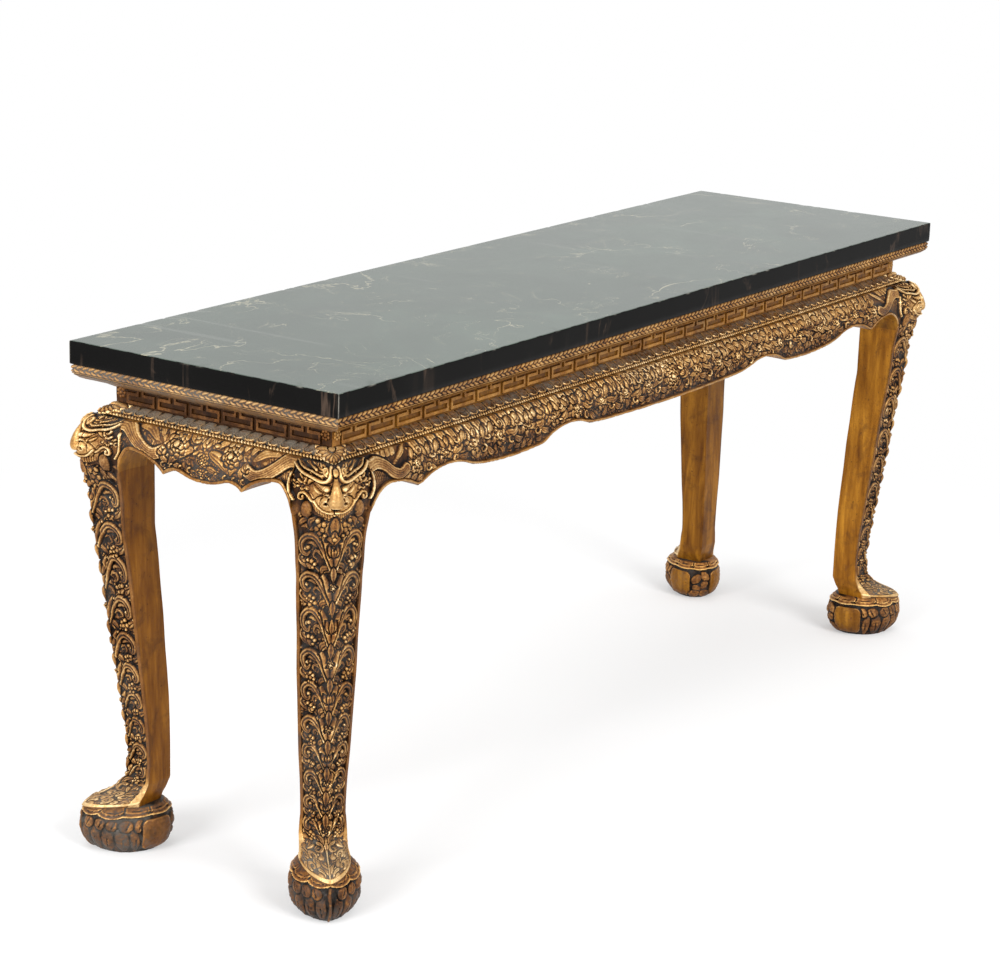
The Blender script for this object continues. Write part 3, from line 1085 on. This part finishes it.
def slab_piece(polished, rough_cut):
    """The marble: a slab with a worn arris, small chips along it and slightly uneven sides."""
    random = np.random.default_rng(6)
    corners = [(-LONG, -SHORT), (LONG, -SHORT), (LONG, SHORT), (-LONG, SHORT)]
    outline, normals = [], []
    for a, b in zip(corners, corners[1:] + corners[:1]):
        run = np.subtract(b, a)
        length = np.abs(run).max()
        count = int(length / 3)
        t = np.linspace(0, 1, count, endpoint=False)
        t = np.concatenate([[0.0, 0.6 / count], t[1:-1], [1 - 0.6 / count]])
        outline.append(a + run * t[:, None])
        inward = np.tile(np.array([-run[1], run[0]]) / length, (len(t), 1))
        inward[0] += run / length
        normals.append(inward)
    outline, normals = np.concatenate(outline), np.concatenate(normals)
    count = len(outline)
    chips = np.zeros(count)
    for _ in range(34):
        middle, reach, deep = random.integers(count), random.integers(1, 4), random.uniform(0.2, 0.7)
        for k in range(-reach, reach + 1):
            at = (middle + k) % count
            chips[at] = max(chips[at], deep * (1 - abs(k) / (reach + 1)))
    chips[(np.abs(outline[:, 0]) > LONG - 8) & (np.abs(outline[:, 1]) > SHORT - 8)] = 0
    # each ring's height, distance in from the edge and share of the chips
    rings = ((822, 1.4, 0), (823.3, 0.2, 0), (832, 0.0, 0), (845, 0.0, 0), (854, 0.0, 0), (857.2, 0.0, 0.3),
             (858.7, 0.15, 0.9), (859.6, 0.6, 1.0), (860, 1.5, 1.0), (860, 5.0, 0.0),
             *((860, inset, 0) for inset in (30, 70, 110, 150, 190, 230, 255)))
    grid = []
    for level, inset, share in rings:
        uneven = 0.12 * np.sin(np.arange(count) * 0.37 + level) * (0 < inset < 1.0)
        shrunk = outline * [1 - (inset + 0.35) / LONG, 1 - (inset + 0.35) / SHORT]
        at = shrunk + normals * (chips * share * 0.8 * (inset < 1.6) + uneven)[:, None]
        drop = chips * (0.9 if level > 859 and inset < 2 else 0)
        grid.append(np.stack([at[:, 0], at[:, 1], level - drop], 1) / 1000)
    corner = (np.abs(outline[:, 0]) > LONG - 0.1) & (np.abs(outline[:, 1]) > SHORT - 0.1)
    worn, chipped = (np.array(rows)[:, None] for rows in zip(*((ring[1] < 2, ring[2] > 0.8) for ring in rings)))
    bare = corner * 0.8 * worn + np.clip(chips, 0, 0.8) * chipped
    piece = solid("marble_top_slab", np.array(grid), "marble_top", polished, {"bright": bare})
    piece.data.materials.append(rough_cut)
    piece.data.uv_layers.remove(piece.data.uv_layers["OFBake"])
    tilt = np.zeros(len(piece.data.polygons) * 3)
    piece.data.polygons.foreach_get("normal", tilt)
    piece.data.polygons.foreach_set("material_index", (tilt[2::3] < 0.9).astype(np.int32))


# ---------------------------------------------------------------- finishes


class Nodes:
    """A node tree written as a few short calls."""

    def __init__(self, owner):
        owner.use_nodes = True
        self.tree = owner.node_tree

    def new(self, kind, **settings):
        node = self.tree.nodes.new(kind)
        for key, value in settings.items():
            setattr(node, key, value)
        return node

    def put(self, socket, value):
        if isinstance(value, bpy.types.NodeSocket):
            self.tree.links.new(value, socket)
        elif isinstance(value, (tuple, list)) and len(value) == 3 and len(socket.default_value) == 4:
            socket.default_value = (*value, 1)
        else:
            socket.default_value = value

    def set(self, node, **values):
        """Fill inputs by name; an underscore stands for a space."""
        for key, value in values.items():
            self.put(node.inputs[key.replace("_", " ")], value)
        return node

    def math(self, operation, *values, clamp=False):
        node = self.new("ShaderNodeMath", operation=operation, use_clamp=clamp)
        for socket, value in zip(node.inputs, values):
            self.put(socket, value)
        return node.outputs[0]


class Finish(Nodes):
    """A node material with its noises, ramps and mixes."""

    def __init__(self, name):
        self.material = bpy.data.materials.new(name)
        super().__init__(self.material)
        self.shader = self.tree.nodes["Principled BSDF"]
        self.place = self.new("ShaderNodeNewGeometry").outputs["Position"]

    def mark(self, name):
        return self.new("ShaderNodeAttribute", attribute_name=name).outputs["Fac"]

    def noise(self, scale, detail=3.0, rough=0.5, warp=0.0, stretch=None, seed=0.0):
        place = self.place
        if stretch or seed:
            node = self.new("ShaderNodeMapping")
            self.set(node, Vector=place, Scale=stretch or (1, 1, 1), Location=(seed, seed * 0.7, seed * 1.3))
            place = node.outputs[0]
        node = self.new("ShaderNodeTexNoise")
        return self.set(node, Vector=place, Scale=scale, Detail=detail, Roughness=rough, Distortion=warp).outputs["Fac"]

    def ramp(self, value, *stops):
        node = self.new("ShaderNodeValToRGB")
        self.put(node.inputs[0], value)
        ramp = node.color_ramp
        while len(ramp.elements) < len(stops):
            ramp.elements.new(0.5)
        for element, (place, colour) in zip(ramp.elements, stops):
            element.position = place
            element.color = (*colour, 1) if isinstance(colour, tuple) else (colour, colour, colour, 1)
        return node.outputs[0]

    def mix(self, share, one, two, blend="MIX"):
        node = self.new("ShaderNodeMix", data_type="RGBA", blend_type=blend)
        for socket, value in zip((node.inputs[0], node.inputs[6], node.inputs[7]), (share, one, two)):
            self.put(socket, value)
        return node.outputs[2]

    def patches(self, low, high, *noise):
        """A mask of noise that rises between two (noise, share) stops."""
        return self.ramp(self.noise(*noise), low, high)

    def bump(self, height, distance, strength=1.0):
        node = self.set(self.new("ShaderNodeBump"), Height=height, Distance=distance, Strength=strength)
        self.put(self.shader.inputs["Normal"], node.outputs[0])

    def done(self, **values):
        self.set(self.shader, **values)
        return self.material


def gilding(name, shades, wear, shine):
    """Worn water gilding: bright on the peaks, brown and dusty in the hollows."""
    f = Finish(name)
    hollow, plain, bright, dusty = f.mark("hollow"), f.mark("plain"), f.mark("bright"), f.mark("dust")
    blotch = f.noise(34, 4, 0.6, 0.4)
    speck = f.noise(300, 3, 0.6)
    streak = f.noise(60, 4, 0.6, 0.3, (1, 1, 0.12))
    level = f.math("MULTIPLY_ADD", hollow, 0.19, 0.34)
    level = f.math("ADD", level, f.math("MULTIPLY_ADD", blotch, 0.7, -0.35))
    level = f.math("ADD", level, f.math("MULTIPLY_ADD", speck, 0.3, -0.15))
    level = f.math("ADD", level, f.math("MULTIPLY", bright, 0.42), clamp=True)
    colour = f.ramp(level, *zip((0.04, 0.22, 0.42, 0.64, 0.92), shades))
    hue = f.ramp(f.noise(11, 4, 0.6, 0.5, None, 11), (0.4, (1.0, 0.86, 0.62)), (0.62, (1.0, 1.0, 1.0)))
    colour = f.mix(0.8, colour, hue, "MULTIPLY")
    flat = f.ramp(streak, (0.3, (0.11, 0.037, 0.002)), (0.5, (0.21, 0.083, 0.006)), (0.72, (0.35, 0.155, 0.014)))
    flat = f.mix(f.patches((0.52, 0.0), (0.7, 0.6), 22, 5, 0.7, 0.6, None, 3), flat, (0.055, 0.020, 0.006))
    flat = f.mix(f.patches((0.68, 0.0), (0.76, 0.8), 190, 2, 0.5, 0, None, 9), flat, (0.012, 0.006, 0.003))
    gain = f.ramp(f.math("ADD", bright, 0.5), (0, (0.55, 0.30, 0.12)), (0.5, (1.0, 1.0, 1.0)), (0.9, (1.6, 1.55, 1.6)))
    colour = f.mix(plain, colour, f.mix(1.0, flat, gain, "MULTIPLY"))
    low = f.ramp(level, (0.16, 1.0), (0.50, 0.0))
    patch = f.patches((0.42, 0.0), (0.62, 1.0), 14, 4, 0.6, 0.5, None, 5)
    dust = f.math("MULTIPLY", f.math("MULTIPLY", low, patch), dusty, clamp=True)
    colour = f.mix(dust, colour, (0.096, 0.088, 0.078))
    film = f.math("MULTIPLY", f.math("SUBTRACT", dusty, 0.7, clamp=True), 0.62)
    colour = f.mix(film, colour, (0.22, 0.195, 0.155))
    worn = f.math("MULTIPLY", f.patches((0.56, 0.0), (0.68, 1.0), 85, 5, 0.65, 0.5, None, 7), wear)
    colour = f.mix(worn, colour, (0.13, 0.048, 0.018))
    metal = f.math("SUBTRACT", 1.0, f.math("MULTIPLY", plain, 0.8))
    metal = f.math("MULTIPLY", f.ramp(level, (0.4, 0.0), (0.8, shine)), metal)
    rough = f.math("MULTIPLY_ADD", speck, 0.3, 0.26)
    f.bump(f.math("ADD", speck, f.math("MULTIPLY", streak, f.math("MULTIPLY", plain, 2.0))), 0.0004, 0.7)
    return f.done(Base_Color=colour, Metallic=metal, Roughness=rough, Specular_IOR_Level=0.1)


def marble(name, ground, vein, shares, glossy, ior, flow=1):
    """Black marble with brown and grey veins and fine scratches."""
    f = Finish(name)
    cloud = f.noise(3.2, 6, 0.6, 0.8)
    base = f.ramp(cloud, (0.3, tuple(c * 0.75 for c in ground)), (0.55, ground), (0.8, tuple(c * 1.5 for c in ground)))
    top = flow == 1
    rare, common = (0.45, 0.60) if top else (0.52, 0.66)
    for scale, width, share, stretch, seed in (
        (1.7, 0.0035, shares[0], (1, 1, 0.35 / flow), 2), (4.5, 0.004, shares[1], (1, 1, 0.3 / flow), 4),
        (9, 0.004, shares[2], (0.8, 1.2, 0.4), 8),
    ):
        n = f.noise(scale, 6, 0.55, 0.9, stretch, seed)
        line = f.ramp(f.math("ABSOLUTE", f.math("SUBTRACT", n, 0.5)), (0.0, 1.0), (width * flow, 0.0))
        line = f.math("MULTIPLY", line, f.patches((rare, 0.0), (common, share), scale * 1.6, 3, 0.5, 0, None, seed + 1))
        base = f.mix(line, base, vein)
    if top:
        scratch = f.patches((0.71, 0.0), (0.73, 0.09), 60, 2, 0.4, 0, (1, 0.03, 1), 6)
        base = f.mix(scratch, base, (0.45, 0.45, 0.42))
    bare = f.math("MULTIPLY", f.mark("bright"), f.patches((0.35, 0.2), (0.6, 0.8), 60, 3))
    base = f.mix(bare, base, (0.30, 0.28, 0.24))
    rough = f.math("MULTIPLY_ADD", f.noise(5, 5, 0.7, 0.6, None, 3), 0.08, glossy)
    f.bump(f.noise(220, 4, 0.7, 0, None, 1), 0.0002, 0.4)
    return f.done(Base_Color=base, Roughness=rough, IOR=ior)


def bare_wood():
    f = Finish("bare_pine")
    grain = f.noise(30, 5, 0.6, 0.8, (0.12, 1, 1))
    ring = f.noise(9, 2, 0.5, 2.0, (0.1, 1, 1), 2)
    colour = f.mix(0.5, f.ramp(grain, (0.3, (0.10, 0.055, 0.025)), (0.7, (0.25, 0.15, 0.075))),
                   f.ramp(ring, (0.4, (0.13, 0.07, 0.032)), (0.6, (0.30, 0.19, 0.10))))
    f.bump(grain, 0.0006)
    return f.done(Base_Color=colour, Roughness=f.math("MULTIPLY_ADD", grain, 0.2, 0.6))


def steel():
    f = Finish("old_steel")
    rust = f.noise(420, 4, 0.6)
    colour = f.ramp(rust, (0.42, (0.30, 0.29, 0.28)), (0.62, (0.16, 0.07, 0.03)))
    f.bump(rust, 0.0001)
    metal, rough = f.ramp(rust, (0.45, 0.95), (0.6, 0.1)), f.math("MULTIPLY_ADD", rust, 0.4, 0.25)
    return f.done(Base_Color=colour, Metallic=metal, Roughness=rough)


# ---------------------------------------------------------------- the table

GOLD = ((0.004, 0.002, 0.0015), (0.036, 0.015, 0.006), (0.17, 0.076, 0.024), (0.455, 0.27, 0.102), (0.85, 0.655, 0.375))
WORN = ((0.004, 0.002, 0.0015), (0.028, 0.011, 0.004), (0.12, 0.050, 0.016), (0.34, 0.165, 0.052), (0.78, 0.50, 0.20))
gold = gilding("carved_gilding", GOLD, 0.25, 0.5)
worn = gilding("worn_gilding", WORN, 0.5, 0.35)
leg_pieces(gold)
apron_pieces(gold)
shoulder_pieces(gold)
rim_pieces(gold)
frieze_pieces(gold)
foot_pieces(worn)
slab_piece(marble("marble_polished", (0.036, 0.058, 0.041), (0.44, 0.40, 0.27), (0.65, 0.5, 0.32), 0.16, 1.42),
           marble("marble_edge", (0.0042, 0.0040, 0.0038), (0.13, 0.085, 0.06), (0.32, 0.4, 0.3), 0.3, 1.12, 3))

wood, screws = bare_wood(), steel()
for name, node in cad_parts.items():
    if not node.hide_render:  # a node that no carved piece replaces
        node.data.materials.clear()
        node.data.materials.append(screws if name == "bearer_screws" else wood)

# ---------------------------------------------------------------- floor, light and camera

scene = bpy.context.scene
scene.view_settings.view_transform = "Standard"


def whiten(nodes, shader, white_kind, output, share=None):
    """Mix a shader toward plain white for what the camera, gloss and glass see."""
    rays = nodes.new("ShaderNodeLightPath").outputs
    seen = nodes.math("MAXIMUM", rays["Is Camera Ray"], rays["Is Glossy Ray"])
    seen = nodes.math("MAXIMUM", seen, rays["Is Transmission Ray"])
    if share:
        seen = nodes.math("MULTIPLY", seen, share)
    white = nodes.set(nodes.new(white_kind), Color=(1, 1, 1), Strength=1.0)
    mix = nodes.new("ShaderNodeMixShader")
    for socket, source in zip(mix.inputs, (seen, shader.outputs[0], white.outputs[0])):
        nodes.put(socket, source)
    nodes.put(nodes.tree.nodes[output].inputs["Surface"], mix.outputs[0])


# white paint; away from the table the camera sees it as plain white
paint = Finish("floor_paint")
paint.done(Base_Color=(0.93, 0.93, 0.93), Roughness=0.6, Specular_IOR_Level=0.0)
far = paint.new("ShaderNodeVectorMath", operation="LENGTH")
paint.put(far.inputs[0], paint.place)
away = paint.new("ShaderNodeMapRange")
paint.set(away, Value=far.outputs["Value"], From_Min=1.05, From_Max=2.1, To_Min=0.35, To_Max=1.0)
whiten(paint, paint.shader, "ShaderNodeEmission", "Material Output", away.outputs[0])

bpy.ops.mesh.primitive_plane_add(size=60)
floor = bpy.context.object
floor.name = "floor"
floor.data.materials.append(paint.material)

scene.world = bpy.data.worlds.new("studio")
sky = Nodes(scene.world)
plain_light = sky.set(sky.tree.nodes["Background"], Color=(1, 1, 1), Strength=0.66)
whiten(sky, plain_light, "ShaderNodeBackground", "World Output")


def lamp(name, place, aim, size, watts, colour=(1, 1, 1)):
    data = bpy.data.lights.new(name, "AREA")
    data.shape = "RECTANGLE"
    data.size, data.size_y = size
    data.energy = watts
    data.color = colour
    piece = bpy.data.objects.new(name, data)
    piece.location = place
    piece.rotation_euler = (Vector(aim) - Vector(place)).to_track_quat("-Z", "Y").to_euler()
    bpy.context.collection.objects.link(piece)


lamp("key", (-2.2, -7.4, 5.2), (0, 0, 0.5), (3.6, 2.8), 500)
lamp("left_fill", (-8.5, 0.4, 3.2), (0, 0, 0.5), (4.0, 4.0), 640, (0.98, 0.99, 1.0))
lamp("over", (0.4, 0.2, 4.2), (0, 0, 0.6), (4.0, 3.0), 50)

# the camera, as fitted to the photograph
EYE, TURN_Z, TILT, ROLL = (-4.2290, -2.7885, 1.8721), math.radians(34.326), math.radians(-15.596), math.radians(1.760)
ahead = Vector((math.cos(TILT) * math.cos(TURN_Z), math.cos(TILT) * math.sin(TURN_Z), math.sin(TILT)))
right = ahead.cross(Vector((0, 0, 1))).normalized()
up = right.cross(ahead)
across = right * math.cos(ROLL) + up * math.sin(ROLL)
upward = up * math.cos(ROLL) - right * math.sin(ROLL)
lens = bpy.data.cameras.new("camera")
lens.lens = 103.1
lens.sensor_width = 36
camera = bpy.data.objects.new("camera", lens)
camera.matrix_world = Matrix.Translation(EYE) @ Matrix((across, upward, -ahead)).transposed().to_4x4()
bpy.context.collection.objects.link(camera)
scene.camera = camera
